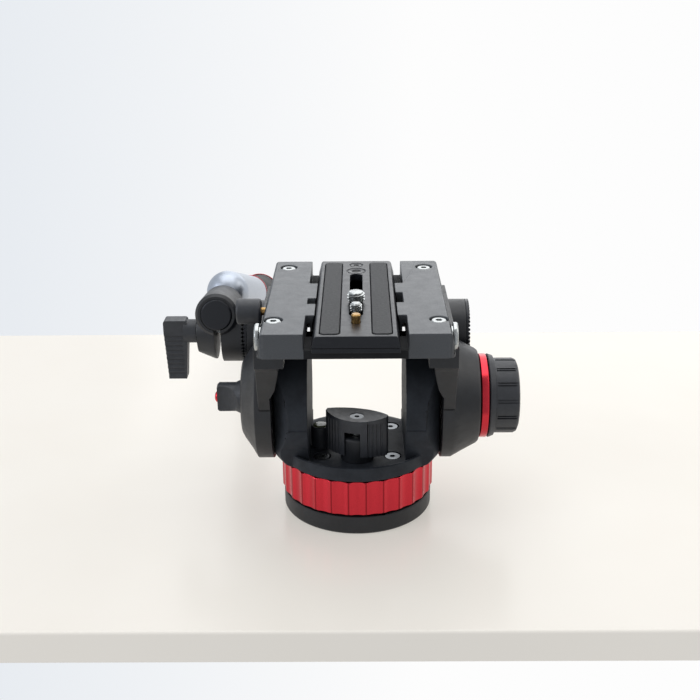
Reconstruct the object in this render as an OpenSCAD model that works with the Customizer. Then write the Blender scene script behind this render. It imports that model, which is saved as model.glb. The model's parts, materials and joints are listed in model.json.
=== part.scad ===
// Fluid video head with a flat base, a tilting deck, a sliding camera plate and a pan bar.
// +X is the drag knob's side, -Y is the front, +Z is up.
// The origin is the mouth of the tripod thread, in the middle of the base's underside.

/* [Base] */
// Radius of the base disc
base_r = 43; // [42:0.5:46]
// Height of the base disc
base_h = 11.4; // [10.5:0.1:14]
// Rounded lower edge of the base disc
base_edge = 2; // [0.5:0.5:3]
// Minor radius of the 3/8-16 tripod thread
thread_r = 3.97; // [3.5:0.01:4.5]
// Depth of the tripod thread
thread_len = 8; // [6:0.5:9]
// Radius of the steel thread insert
insert_r = 9; // [7:0.5:11]
// Outer radius of the hub that carries the pan bearing
hub_r = 22; // [20:0.5:24]
// Height of the hub above the base disc
hub_h = 14.6; // [13:0.1:16]

/* [Pan drive] */
// Radius of the pan spindle
spindle_r = 10; // [8:0.5:12]
// Radial thickness of the ball bearings
bearing_t = 5.9; // [4:0.1:7]
// Height of the pan bearing
bearing_h = 8; // [6:0.5:9]
// Thickness of the bronze thrust washer
washer_t = 1.4; // [1:0.1:2]
// Gap under the pan drag ring
ring_gap = 1.2; // [0.4:0.1:1.5]
// How far the pan drag ring stands out over the base disc
ring_proud = 0.9; // [0.2:0.1:2]
// Height of the pan drag ring
ring_h = 20.3; // [19:0.1:24]
// Radial wall of the pan drag ring
ring_wall = 7.6; // [5:0.1:8]
// Gap between the spindle's flange and the pan drag ring's bore
flange_gap = 3.3; // [1:0.1:4]
// Flutes round the pan drag ring
ring_flutes = 28; // [16:1:40]
// Radius of each flute's cutter
flute_r = 11; // [8:0.5:14]
// Depth of the flutes
flute_depth = 1; // [0.4:0.1:1.5]

/* [Yoke] */
// Largest radius of the yoke
yoke_r = 46.3; // [45:0.1:49]
// Thickness of the yoke's floor
floor_t = 4.7; // [4:0.1:7]
// Height of the low rim round the floor
rim_h = 4.3; // [3:0.1:6]
// Free width between the arms
arm_gap = 54; // [50:0.5:58]
// Half depth of an arm, and the radius of its round top
arm_r = 36; // [34:0.5:38]
// Radius in plan that rounds the arms' outer corners
arm_round = 52; // [51:0.5:52]
// Half depth of an arm at its foot
arm_foot = 25; // [22:0.5:28]
// Height of the tilt axis over the yoke's floor
tilt_rise = 28.3; // [26:0.1:36]
// Distance of the floor screws' axes from the edge of the spindle's flange
floor_screw_edge = 4.7; // [3.5:0.1:7]
// Head radius of the countersunk floor screws
floor_screw_head = 4.2; // [3.6:0.1:5]
// Radius of the stub axles
axle_r = 8; // [6:0.5:10]

/* [Pan lock and level] */
// Distance of the pan lock post in front of the pan axis
post_y = 22; // [20:0.5:23]
// Radius of the pan lock post
post_r = 9.4; // [8:0.1:9.8]
// Height of the pan lock post
post_h = 15; // [12:0.5:18]
// Radius of the pan lock stud
lock_stud_r = 4; // [3:0.1:5]
// Length of the pan lock knob's wing
wing_l = 38; // [34:0.5:40]
// Thickness of the wing in the middle
wing_w = 19; // [15:0.5:20]
// Height of the wing from skirt to top
wing_h = 23.5; // [20:0.5:28]
// Turn of the wing on its post
wing_turn = -17; // [-30:1:30]
// Radius of the bubble level's body
level_r = 5.6; // [4:0.1:7]
// Height of the bubble level's body
level_h = 13; // [9:0.5:16]
// Place of the bubble level to the left of the pan axis
level_x = 21; // [18:0.5:21]
// Place of the bubble level in front of the pan axis
level_y = 6; // [4:0.5:8]

/* [Tilt housings] */
// Radius of the tilt drums
drum_r = 35; // [33:0.5:37]
// Length of a drum's straight wall
drum_l = 6; // [5:0.5:8]
// Length of the right housing
right_l = 21.6; // [21.5:0.1:24]
// Length of the left housing
left_l = 18; // [17.5:0.1:20]
// Radius of the drag cartridge
cartridge_r = 22; // [20:0.5:22.5]
// Outward reach of the brackets from the middle plane
bracket_x = 53.5; // [52:0.5:56]
// Inner side of the bracket feet from the middle plane
foot_x = 38; // [36:0.5:39]
// Wire radius of the counterbalance spring
spring_wire = 1.5; // [1:0.1:1.8]
// Turns of the counterbalance spring
spring_turns = 3; // [2:1:3]

/* [Tilt controls] */
// Radius of the red band beside the drag knob
band_r = 24; // [22:0.5:26]
// Width of the red band
band_w = 4.7; // [3:0.1:6]
// Radius of the tilt drag knob
knob_r = 21.5; // [19:0.5:24]
// Length of the tilt drag knob without its skirt
knob_l = 13.8; // [12:0.1:18]
// Width of the skirt behind the drag knob
skirt_w = 3.2; // [2:0.1:5]
// Pads round the drag knob
knob_ribs = 14; // [10:1:20]
// Radius of the drag knob's shaft
shaft_r = 5; // [4:0.1:6]
// Radius of the tilt lock lever
lever_r = 8.4; // [7:0.1:10]
// Length of the tilt lock lever
lever_l = 14.6; // [13:0.1:18]

/* [Deck] */
// Height of the deck's underside over the tilt axis
deck_rise = 48.8; // [46:0.1:54]
// Thickness of the deck
deck_t = 13.4; // [13:0.1:16]
// Thickness of the deck's floor under the plate
deck_floor = 4.6; // [4:0.1:5.5]
// Width of the deck at its underside
deck_w = 100.7; // [99:0.1:102]
// Draft of each deck side
deck_draft = 1.75; // [0.5:0.05:2.5]
// Radius of the deck's corners in plan
deck_corner = 4; // [2:0.5:5]
// Reach of the deck to the front
deck_front = 67.5; // [64:0.5:70]
// Reach of the deck to the rear
deck_rear = 62.5; // [60:0.5:66]
// Half width of the open channel ahead of and behind the jaws
channel_x = 26.5; // [26:0.1:28]
// Front end of the jaws
jaw_front = 38; // [34:0.5:40]
// Rear end of the jaws
jaw_rear = 18; // [14:0.5:22]
// Width of the deck screws' sockets
deck_screw_r = 5; // [4.6:0.1:5.5]
// Distance of the accessory threads in front of the tilt axis
accessory_y = 53.5; // [53:0.5:55]
// Flange radius of the accessory inserts
accessory_r = 7.2; // [7:0.1:7.6]

/* [Camera plate] */
// Width of the plate's top
plate_w = 41; // [40:0.5:42]
// Spread of each dovetail side
plate_flare = 1.8; // [1:0.1:2.2]
// Thickness of the plate
plate_t = 10; // [9.5:0.1:11]
// Reach of the plate to the front
plate_front = 74.9; // [72:0.1:78]
// Reach of the plate to the rear
plate_rear = 57.2; // [55:0.1:60]
// Width of the screw slot
slot_w = 7; // [6.8:0.1:8]
// Width of a rubber pad
pad_w = 10.3; // [8:0.1:11]
// Thickness of a rubber pad
pad_t = 1.6; // [1.4:0.1:2]
// Radius of the 3/8 camera screw
screw38_r = 4.76; // [4:0.01:5]
// Place of the 3/8 screw in front of the tilt axis
screw38_y = 21; // [20:0.5:23]
// Radius of the 1/4 camera screw
screw14_r = 3.17; // [2.8:0.01:3.5]
// Place of the 1/4 screw in front of the tilt axis
screw14_y = 38; // [37:0.5:39]
// Height of the threads over the plate
screw_up = 6; // [4:0.1:7]
// Radius of the locating pin
pin_r = 2.45; // [2:0.05:2.6]
// Place of the locating pin in front of the tilt axis
pin_y = 53.5; // [52:0.5:55]
// Height of the locating pin over the plate
pin_up = 4.6; // [4.2:0.1:5]
// Place of the plate lock in front of the tilt axis
plate_lock_y = 14; // [12:0.5:16]
// Radius of the plate lock knob
plate_knob_r = 7; // [6:0.1:7.2]
// Gap between the deck's side and the plate lock knob
plate_knob_gap = 1.4; // [1:0.1:4]
// Length of the plate lock knob
plate_knob_l = 13.4; // [10:0.1:13.6]
// Radius of the plate lock's brass stud
plate_stud_r = 2.2; // [1.8:0.1:2.5]

/* [Pan bar] */
// Distance of the rosettes behind the tilt axis
rosette_y = 32; // [31:0.5:34]
// Height of the rosettes over the tilt axis
rosette_z = 28.8; // [28.5:0.1:30.5]
// Radius of the rosettes
rosette_r = 18; // [16:0.5:18]
// How far the rosettes' outer face stands out over the yoke's radius
rosette_out = 19.3; // [18.7:0.1:20.7]
// Teeth of a rosette
rosette_teeth = 48; // [36:1:50]
// Radius of the clamp bolt
bolt_r = 3; // [2.5:0.1:3.2]
// Outer radius of the split clamp ring
clamp_r = 12.3; // [11.8:0.1:13]
// Length of the split clamp ring
clamp_l = 35; // [30:0.5:38]
// Radius of the bar's spigot in the clamp
spigot_r = 8.6; // [7.5:0.1:8.8]
// Dip of the clamp ring towards the rear
clamp_dip = 9; // [7:0.5:11]
// Width of the slit under the clamp ring
slit_w = 4; // [2:0.5:5]
// Radius of the bar's tube
tube_r = 13; // [12:0.05:13.2]
// Visible length of the tube
tube_l = 170; // [150:1:172]
// Wall of the tube
tube_wall = 1.6; // [1:0.1:3]
// Dip of the tube towards the rear
tube_dip = 18; // [15:0.5:18.5]
// Outward splay of the tube
tube_splay = 1.3; // [0:0.1:2]
// Length of the grip
grip_l = 118; // [90:1:120]
// Radius of the grip
grip_r = 13.5; // [13.3:0.1:14.5]
// Radius of the flared end of the grip
flare_r = 16.8; // [15:0.1:17.5]
// Reach of the bar lever's paddle below the bolt
paddle_down = 28.8; // [22:0.1:32]
// Reach of the paddle above the bolt
paddle_up = 7.7; // [7:0.1:10]
// Width of the paddle
paddle_w = 13.8; // [11:0.1:16]
// Thickness of the paddle
paddle_t = 9; // [7:0.5:12]

/* [Fits] */
// Gap of pieces seated in each other
seat_gap = 0.05; // [0.02:0.01:0.1]
// Gap between pieces that turn or slide past each other
run_gap = 0.4; // [0.3:0.05:0.6]

/* [Hidden] */
$fn = 64;
eps = 0.01;

// Heights from the ground up
hub_top = base_h + hub_h;
ring_z0 = base_h + ring_gap;
ring_z1 = ring_z0 + ring_h;
yoke_z0 = ring_z1 + run_gap;
floor_z = yoke_z0 + floor_t;
rim_z = floor_z + rim_h;
tilt_z = floor_z + tilt_rise;
arm_top = tilt_z + arm_r;
deck_z0 = tilt_z + deck_rise;
channel_z = deck_z0 + deck_floor;
deck_z1 = deck_z0 + deck_t;
plate_z0 = channel_z + 0.3;
plate_z1 = plate_z0 + plate_t;

// Pan drive
ring_r = base_r + ring_proud;
ring_bore = ring_r - ring_wall;
flange_r = ring_bore - flange_gap;
bearing_r = spindle_r + bearing_t + 2 * seat_gap;
bearing_z0 = thread_len + 3;
flange_z0 = hub_top + washer_t + 0.15;
clip_h = 1.2;
clip_z0 = bearing_z0 - clip_h - 0.4;

// Screws in the yoke's floor
floor_screw_at = (flange_r - floor_screw_edge) / sqrt(2);
floor_shank_r = 2.5;
floor_sink = 2.6;
floor_recess = floor_screw_head + 0.7;
floor_back_r = yoke_r - 8.8;
floor_drop = 3.6;

// Tilt drums along X
drum_x0 = yoke_r + 0.7;
right_x1 = drum_x0 + right_l;
left_x1 = drum_x0 + left_l;
arm_wall = 2.5;
axle_x0 = arm_gap / 2 + arm_wall;
axle_x1 = drum_x0 + 12.3;
tilt_bearing_r = axle_r + 5;
tilt_bearing_x0 = drum_x0 + 1;
tilt_bearing_w = 9;
end_wall = 4.3;
cartridge_x1 = right_x1 - end_wall;
spring_r = tilt_bearing_r + 3 + spring_wire + 0.4;
spring_bay = 11.5;
foot_h = 12;
foot_z0 = max(deck_z0 - foot_h, arm_top + 0.8);
column_t = 9;
foot_front = 50.5;
foot_rear = 56;
deck_screws = [[42.9, -45], [40.2, 50]];
deck_shank_r = 2;
deck_sink = 2.4;

// Right hand controls along X
band_x0 = right_x1 + 0.5;
band_x1 = band_x0 + band_w;
skirt_x0 = band_x1 + run_gap;
knob_x0 = skirt_x0 + skirt_w;
knob_x1 = knob_x0 + knob_l;

// Left hand tilt lock
lever_x0 = left_x1 + run_gap;
lever_x1 = lever_x0 + lever_l;
lever_stud_r = 3;

// Deck and plate
jaw_top_x = plate_w / 2 + 0.9;
jaw_low_x = plate_w / 2 + plate_flare + 0.6;
plate_low_x = plate_w / 2 + plate_flare;
jaw_notch_front = 17;
jaw_notch_l = 17.7;
floor_slot_front = 46;
floor_slot_l = 26;
floor_slot_up = 4;
shoe_z = channel_z + 4;
shoe_w = 9;
shoe_t = 2.6;
shoe_h = 5;
shoe_in = plate_low_x + 0.3;
shoe_bay = shoe_t + 1.2;
plate_knob_x0 = deck_w / 2 + plate_knob_gap;
plate_lock_z = channel_z + 3;
accessory_z = channel_z + 2.4;
accessory_hole = 12;
accessory_x0 = deck_w / 2 - 0.8;
accessory_flange = 2.4;
slot_front = 44;
slot_rear = 31;
head_slot_w = 15.4;
head_slot_h = plate_t - 4.2;
head_r = 7;
head_h = 3.6;
clip_t = 0.8;
slip = 0.2;

// Pan bar
pivot_y = rosette_y;
rosette_x = yoke_r + rosette_out;
pivot_z = tilt_z + rosette_z;
tooth_h = 1.9;
tooth_w = 1.45;
tooth_d = 1.1;
tooth_relief = 1.4;
tooth_in_r = rosette_r - 5.5;
rosette_seat = rosette_x - tooth_h - 0.1;
clamp_face = rosette_x + 0.4;
bar_x = clamp_face + clamp_r + 2.2;
clamp_out = bar_x + clamp_r + 0.5;
clamp_front = pivot_y - clamp_l / 2;
clamp_web = 1.3;
clamp_z = pivot_z + spigot_r + bolt_r + clamp_web + clamp_l / 2 * tan(clamp_dip);
knuckle_y = clamp_front + clamp_l + 14;
knuckle_z = clamp_z - 1.7;
knuckle_x = bar_x - 1.5;
grip_wall = grip_r - tube_r + 1.4;
lever_hub_r = 7;
lever_hub_l = 5.6;
lever_washer = 1;
lever_hub_x0 = clamp_out + 0.1 + lever_washer + 0.1;
paddle_x0 = lever_hub_x0 + lever_hub_l;

black = "#2b2d30";
soft_black = "#1f2023";
grey = "#6c7073";
red = "#c2272d";
steel = "#c6c8c9";
brass = "#b08a4e";
silver = "#c9ced6";

// Shared shapes

// A ring or disc round the Z axis
module disc(r, z0, z1, bore = 0) {
  translate([0, 0, z0]) difference() {
    cylinder(r = r, h = z1 - z0);
    if (bore > 0) translate([0, 0, -1]) cylinder(r = bore, h = z1 - z0 + 2);
  }
}

// A body of revolution round the X axis, from points of [radius, x]
module turned_x(points) {
  rotate([0, 90, 0]) rotate_extrude() polygon(points);
}

// A round bar along X
module bar_along_x(r, x0, x1) {
  translate([x0, 0, 0]) rotate([0, 90, 0]) cylinder(r = r, h = x1 - x0);
}

// A flat shape in the Y and Z plane, made thick from x0 to x1
module slab_x(x0, x1) {
  translate([x0, 0, 0]) rotate([90, 0, 90]) linear_extrude(x1 - x0) children();
}

// A flat shape in the X and Z plane, made thick from y0 to y1
module slab_y(y0, y1) {
  translate([0, y1, 0]) rotate([90, 0, 0]) linear_extrude(y1 - y0) children();
}

// A rectangle with round corners
module round_rect(w, h, r) {
  square([w - 2 * r, h], center = true);
  square([w, h - 2 * r], center = true);
  for (x = [-1, 1], y = [-1, 1]) translate([x * (w / 2 - r), y * (h / 2 - r)]) circle(r);
}

// An upright block with round corners, from the low corner to the high corner
module round_block(low, high, r) {
  size = high - low;
  translate([(low[0] + high[0]) / 2, (low[1] + high[1]) / 2, low[2]])
    linear_extrude(size[2]) round_rect(size[0], size[1], r);
}

// A hexagon key socket, cut downwards from z
module hex_socket(r, z, depth) {
  translate([0, 0, z - depth]) cylinder(r = r, h = depth + 1, $fn = 6);
}

// A coil of round wire along Z, open at both ends
module coil(r, wire, turns, pitch) {
  around = 20;
  sides = 8;
  steps = turns * around;
  points = [for (i = [0 : steps], k = [0 : sides - 1])
    let (a = 360 * i / around, b = 360 * k / sides, q = r + wire * cos(b))
    [q * cos(a), q * sin(a), pitch * i / around + wire * sin(b)]];
  skin = [for (i = [0 : steps - 1], k = [0 : sides - 1], t = [0, 1])
    let (n = (k + 1) % sides, a = i * sides + k, b = i * sides + n, c = b + sides, d = a + sides)
    t == 0 ? [a, c, b] : [a, d, c]];
  first = [for (k = [1 : sides - 2]) [0, k, k + 1]];
  last = [for (k = [1 : sides - 2]) [steps * sides, steps * sides + k + 1, steps * sides + k]];
  polyhedron(points = points, faces = concat(skin, first, last), convexity = 10);
}

module at_tilt() {
  translate([0, 0, tilt_z]) children();
}

module at_pivot() {
  translate([0, pivot_y, pivot_z]) children();
}

// The clamp ring's own frame: its axis is +Y, from the front face
module at_clamp() {
  translate([-bar_x, clamp_front, clamp_z]) rotate([-clamp_dip, 0, 0]) children();
}

// The tube's own frame: its axis is +Z, from the knuckle towards the grip
module at_tube() {
  translate([-knuckle_x, knuckle_y, knuckle_z]) rotate([-90 - tube_dip, 0, tube_splay]) children();
}

// Base and pan drive

module base_plate() {
  color(black) rotate_extrude() polygon(concat(
    [[insert_r + seat_gap, 0], [base_r - base_edge, 0]],
    [for (a = [-75 : 15 : 0]) [base_r - base_edge + base_edge * cos(a), base_edge + base_edge * sin(a)]],
    [[base_r, base_h - 0.6], [base_r - 0.6, base_h], [hub_r, base_h], [hub_r, hub_top],
     [bearing_r, hub_top], [bearing_r, thread_len], [insert_r + seat_gap, thread_len]]));
}

module thread_insert() {
  color(steel) disc(insert_r, 0, thread_len, thread_r);
}

module pan_bearing() {
  color(steel) disc(bearing_r - seat_gap, bearing_z0, bearing_z0 + bearing_h, spindle_r + seat_gap);
}

module pan_thrust_washer() {
  color(brass) disc(hub_r - 1, hub_top, hub_top + washer_t, spindle_r + run_gap);
}

module pan_fluid_cartridge() {
  color(steel) disc(ring_bore - run_gap, base_h, hub_top, hub_r + seat_gap);
}

module pan_drag_ring() {
  color(red) difference() {
    rotate_extrude() polygon([[ring_bore, ring_z0], [ring_r - 0.5, ring_z0],
      [ring_r, ring_z0 + 0.5], [ring_r, ring_z1 - 0.8], [ring_r - 0.8, ring_z1], [ring_bore, ring_z1]]);
    for (i = [0 : ring_flutes - 1]) rotate(i * 360 / ring_flutes)
      translate([ring_r + flute_r - flute_depth, 0, ring_z0 - 1]) cylinder(r = flute_r, h = ring_h + 2);
  }
}

module pan_spindle() {
  groove_r = spindle_r - 0.9;
  color(steel) difference() {
    rotate_extrude() polygon([[0, clip_z0 - 0.6], [spindle_r, clip_z0 - 0.6], [spindle_r, clip_z0],
      [groove_r, clip_z0], [groove_r, clip_z0 + clip_h], [spindle_r, clip_z0 + clip_h],
      [spindle_r, flange_z0], [flange_r, flange_z0], [flange_r, yoke_z0], [0, yoke_z0]]);
    for (x = [-1, 1], y = [-1, 1]) translate([x * floor_screw_at, y * floor_screw_at, flange_z0 - 1])
      cylinder(r = floor_shank_r + seat_gap, h = 20);
    translate([0, -post_y, flange_z0 - 1]) cylinder(r = lock_stud_r + run_gap, h = 20);
  }
}

module spindle_clip() {
  color(steel) disc(spindle_r + 2.4, clip_z0 + 0.1, clip_z0 + clip_h - 0.1, spindle_r - 0.9 + seat_gap);
}

// Yoke and what stands on its floor

// The yoke's round foot, up to the rim
module yoke_foot() {
  rotate_extrude() polygon([[0, yoke_z0], [yoke_r - 2.8, yoke_z0], [yoke_r - 1.8, yoke_z0 + 1],
    [yoke_r - 0.7, rim_z], [0, rim_z]]);
}

// The recess inside the rim of the foot
module yoke_bowl() {
  rotate_extrude() polygon([[0, floor_z], [yoke_r - 3.6, floor_z], [yoke_r - 2.4, rim_z + 0.1], [0,
    rim_z + 0.1]]);
}

// The rear of the foot, open between the arms and falling away behind the floor
module yoke_back() {
  intersection() {
    rotate_extrude() polygon([[0, floor_z], [floor_back_r, floor_z], [yoke_r + 1, floor_z - floor_drop],
      [yoke_r + 1, rim_z + 1], [0, rim_z + 1]]);
    translate([-arm_gap / 2, arm_foot / 2, yoke_z0]) cube([arm_gap, yoke_r + 1, floor_t + rim_h + 2]);
  }
}

// Side view of an arm, round at its top and narrower at its foot
module arm_side() {
  translate([0, tilt_z]) circle(arm_r);
  polygon([[-arm_foot, yoke_z0], [arm_foot, yoke_z0], [arm_r - 0.5, tilt_z - 6], [-arm_r + 0.5, tilt_z - 6]]);
}

// The two arms, flat towards the tilt drums, rounded in plan and drawn in under their feet
module yoke_arms() {
  difference() {
    intersection() {
      slab_x(-yoke_r, yoke_r) arm_side();
      rotate_extrude() polygon([[0, yoke_z0], [yoke_r - 2, yoke_z0], [yoke_r + 0.7, yoke_z0 + 1.5],
        [yoke_r + 3, yoke_z0 + 4.5], [arm_round - 0.8, yoke_z0 + 8], [arm_round, yoke_z0 + 12],
        [arm_round, arm_top], [0, arm_top]]);
    }
    translate([-arm_gap / 2, -yoke_r, yoke_z0 - 1]) cube([arm_gap, 2 * yoke_r, arm_top]);
  }
}

module yoke() {
  color(black) difference() {
    union() {
      difference() {
        yoke_foot();
        yoke_bowl();
        yoke_back();
      }
      yoke_arms();
    }
    for (x = [-1, 1], y = [-1, 1]) translate([x * floor_screw_at, y * floor_screw_at, 0]) {
      translate([0, 0, yoke_z0 - 1]) cylinder(r = floor_shank_r + seat_gap, h = floor_t + 2);
      translate([0, 0, floor_z - floor_sink]) cylinder(r = floor_recess, h = floor_sink + 1);
    }
    translate([0, -post_y, yoke_z0 - 1]) cylinder(r = lock_stud_r + run_gap, h = floor_t + 2);
    for (side = [0, 1]) mirror([side, 0, 0]) at_tilt() bar_along_x(axle_r + seat_gap, axle_x0, yoke_r + 1);
  }
}

module floor_screws() {
  color(steel) for (x = [-1, 1], y = [-1, 1]) translate([x * floor_screw_at, y * floor_screw_at, 0])
    difference() {
    union() {
      translate([0, 0, flange_z0 + 0.3]) cylinder(r = floor_shank_r, h = floor_z - flange_z0 - 2);
      translate([0, 0, floor_z - floor_sink])
        cylinder(r1 = floor_screw_head - 0.4, r2 = floor_screw_head, h = floor_sink - 0.3);
    }
    hex_socket(1.7, floor_z - 0.3, 1.6);
  }
}

module pan_lock_post() {
  top = floor_z + post_h;
  color(black) translate([0, -post_y, 0]) rotate_extrude() polygon([[lock_stud_r + run_gap, floor_z],
    [post_r, floor_z], [post_r, top - 1.2], [post_r - 1.2, top], [lock_stud_r + run_gap, top]]);
}

module pan_lock_stud() {
  color(steel) translate([0, -post_y, 0]) disc(lock_stud_r, flange_z0 + 0.5, lock_stud_top);
}

wing_z0 = floor_z + 4.5;
wing_z1 = wing_z0 + wing_h;
wing_arch = floor_z + post_h + 3.7;
cap_screw_r = 3.9;
cap_screw_z = wing_z1 - 4.4;
lock_stud_top = floor_z + post_h + 7;
wing_round = (wing_l * wing_l + wing_w * wing_w) / (4 * wing_w);
wing_dish = 2.6;

// Half thickness of the wing at a distance from its middle
function wing_half(x) = wing_w / 2 - wing_round + sqrt(wing_round * wing_round - x * x);

module wing_plan() {
  intersection() {
    translate([0, wing_round - wing_w / 2]) circle(wing_round);
    translate([0, wing_w / 2 - wing_round]) circle(wing_round);
    square([wing_l - 2.4, wing_w], center = true);
  }
}

module pan_lock_knob() {
  dish = (wing_l * wing_l / 4 + wing_dish * wing_dish) / (2 * wing_dish);
  color(black) translate([0, -post_y, 0]) rotate(wing_turn) difference() {
    translate([0, 0, wing_z0]) linear_extrude(wing_h) wing_plan();
    translate([0, 0, wing_z0 - 1]) cylinder(r = post_r + 0.7, h = wing_arch - wing_z0 + 1);
    translate([0, 0, wing_z1 + dish - wing_dish]) sphere(dish, $fn = 96);
    translate([0, 0, wing_arch - 1]) cylinder(r = lock_stud_r + seat_gap,
      h = lock_stud_top + 1.1 - wing_arch);
    translate([0, 0, cap_screw_z]) cylinder(r = cap_screw_r + seat_gap, h = 5);
    for (end = [-1, 1], face = [-1, 1], k = [0 : 3]) let (x = wing_l / 2 - 3.4 - 2.1 * k)
      translate([end * x, face * (wing_half(x) + 0.2), wing_z0 - 1]) cylinder(r = 0.7, h = wing_h - 2.5,
        $fn = 24);
  }
}

module pan_lock_screw() {
  color(steel) translate([0, -post_y, 0]) difference() {
    disc(cap_screw_r, cap_screw_z, cap_screw_z + 1.7);
    hex_socket(1.5, cap_screw_z + 1.7, 1.1);
  }
}

module level_body() {
  color(black) translate([-level_x, -level_y, 0]) difference() {
    rotate_extrude() polygon([[0, floor_z], [level_r, floor_z], [level_r, floor_z + level_h - 0.8],
      [level_r - 0.8, floor_z + level_h], [0, floor_z + level_h]]);
    translate([0, 0, floor_z + level_h - 3]) cylinder(r = level_r - 1.2, h = 4);
  }
}

module level_vial() {
  color("#a9c34a") translate([-level_x, -level_y, floor_z + level_h]) rotate_extrude()
    polygon([[0, -3], [level_r - 1.2 - seat_gap, -3], [level_r - 1.2 - seat_gap, 0], [level_r - 2.4, 0.5],
      [0, 0.7]]);
}

// Tilt axis

module tilt_axle() {
  at_tilt() turned_x([[0, axle_x0], [axle_r, axle_x0], [axle_r, axle_x1 - 1], [axle_r - 1, axle_x1], [0,
    axle_x1]]);
}

module tilt_axle_left() {
  color(steel) mirror([1, 0, 0]) tilt_axle();
}

module tilt_axle_right() {
  color(steel) tilt_axle();
}

module tilt_bearing() {
  x1 = tilt_bearing_x0 + tilt_bearing_w;
  at_tilt() turned_x([[axle_r + seat_gap, tilt_bearing_x0], [tilt_bearing_r, tilt_bearing_x0],
    [tilt_bearing_r, x1], [axle_r + seat_gap, x1]]);
}

module tilt_bearing_left() {
  color(steel) mirror([1, 0, 0]) tilt_bearing();
}

module tilt_bearing_right() {
  color(steel) tilt_bearing();
}

// Side view of the fan that carries a drum under the deck
module bracket_fan() {
  polygon([[-foot_front, deck_z0], [-foot_front, foot_z0], [-foot_front + 5, foot_z0 - 4],
    [-drum_r + 0.5, tilt_z + 6], [drum_r - 0.5, tilt_z + 6], [foot_rear - 8, foot_z0 - 4],
    [foot_rear, foot_z0], [foot_rear, deck_z0]]);
}

// Columns at the fan's front and rear edges, seen from the side
module column_side() {
  difference() {
    bracket_fan();
    polygon([[column_t - foot_front, deck_z1], [column_t - foot_front, foot_z0 - 2], [column_t - drum_r,
      tilt_z],
      [drum_r - column_t, tilt_z], [foot_rear - column_t, foot_z0 - 2], [foot_rear - column_t, deck_z1]]);
  }
}

// What both housings share: fan, foot under the deck, columns beside the arm and rosette boss
module bracket() {
  slab_x(drum_x0, bracket_x) bracket_fan();
  translate([foot_x, -foot_front, foot_z0])
    cube([bracket_x - foot_x, foot_front + foot_rear, deck_z0 - foot_z0]);
  difference() {
    intersection() {
      slab_y(-foot_front, foot_rear) polygon([[foot_x + 2.6, foot_z0 + 1], [foot_x + 3.4, foot_z0 - 5],
        [foot_x + 4.6, foot_z0 - 11], [foot_x + 6, foot_z0 - 17], [drum_x0 - 0.5, foot_z0 - 22],
        [drum_x0 + 1, foot_z0 - 22], [drum_x0 + 1, foot_z0 + 1]]);
      slab_x(foot_x, drum_x0 + 1) column_side();
    }
    at_tilt() bar_along_x(arm_r + 0.8, 0, drum_x0 + eps);
  }
  at_pivot() bar_along_x(rosette_r, drum_x0, rosette_seat);
}

// Screw holes, the clamp bolt's hole and the room that a clamp needs in front of the rosette
module bracket_holes() {
  for (place = deck_screws) translate([place[0], place[1], foot_z0 + 1])
    cylinder(r = deck_shank_r + seat_gap, h = foot_h + 5);
  at_pivot() bar_along_x(bolt_r + 0.3, deck_w / 2 + 2, rosette_x);
  at_pivot() bar_along_x(rosette_r + 0.6, rosette_seat, right_x1 + 1);
}

module tilt_housing_right() {
  color(black) difference() {
    union() {
      at_tilt() turned_x([[0, drum_x0], [drum_r, drum_x0], [drum_r, drum_x0 + drum_l],
        [drum_r - 3.4, right_x1 - 9.5], [drum_r - 7.7, right_x1 - 1.4], [drum_r - 8.8, right_x1], [0,
        right_x1]]);
      bracket();
    }
    bracket_holes();
    at_tilt() {
      bar_along_x(cartridge_r, drum_x0 - 1, cartridge_x1);
      bar_along_x(shaft_r + run_gap, cartridge_x1 - 1, right_x1 + 1);
    }
  }
}

module tilt_fluid_cartridge() {
  rim = cartridge_r - seat_gap;
  bore = tilt_bearing_r + seat_gap;
  bore_x1 = axle_x1 + 0.4;
  nose = shaft_r + seat_gap;
  color(steel) at_tilt() turned_x([[bore, drum_x0 + 0.4], [rim, drum_x0 + 0.4], [rim,
    cartridge_x1 - seat_gap],
    [nose, cartridge_x1 - seat_gap], [nose, bore_x1 + 1.8], [0, bore_x1 + 1.8], [0, bore_x1], [bore,
      bore_x1]]);
}

module tilt_housing_left() {
  bay_r = spring_r + spring_wire + 0.5;
  color(black) mirror([1, 0, 0]) difference() {
    union() {
      at_tilt() turned_x([[0, drum_x0], [drum_r, drum_x0], [drum_r, drum_x0 + drum_l + 3],
        [drum_r - 5, left_x1 - 6], [drum_r - 11.4, left_x1 - 1.4], [drum_r - 14, left_x1], [0, left_x1]]);
      bracket();
    }
    bracket_holes();
    at_tilt() {
      bar_along_x(tilt_bearing_r + seat_gap, drum_x0 - 1, axle_x1 + 0.6);
      turned_x([[tilt_bearing_r + 3, drum_x0 - 1], [bay_r, drum_x0 - 1], [bay_r, drum_x0 + spring_bay],
        [tilt_bearing_r + 3, drum_x0 + spring_bay]]);
      bar_along_x(lever_stud_r + run_gap, axle_x1, left_x1 + 1);
    }
  }
}

module counterbalance_spring() {
  pitch = (spring_bay - 1.4 - 2 * spring_wire) / spring_turns;
  color(steel) at_tilt() translate([-drum_x0 - spring_bay + spring_wire + 0.4, 0, 0]) rotate([0, 90, 0])
    coil(spring_r, spring_wire, spring_turns, pitch);
}

// Tilt controls

module tilt_red_band() {
  bore = shaft_r + run_gap;
  color(red) at_tilt() turned_x([[bore, right_x1], [band_r - 2, right_x1], [band_r - 0.6, band_x0],
    [band_r, band_x0 + 0.6], [band_r, band_x1 - 0.6], [band_r - 0.6, band_x1], [bore, band_x1]]);
}

module tilt_drag_shaft() {
  color(steel) at_tilt() bar_along_x(shaft_r, cartridge_x1 - 2.5, knob_x0 + 5);
}

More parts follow.
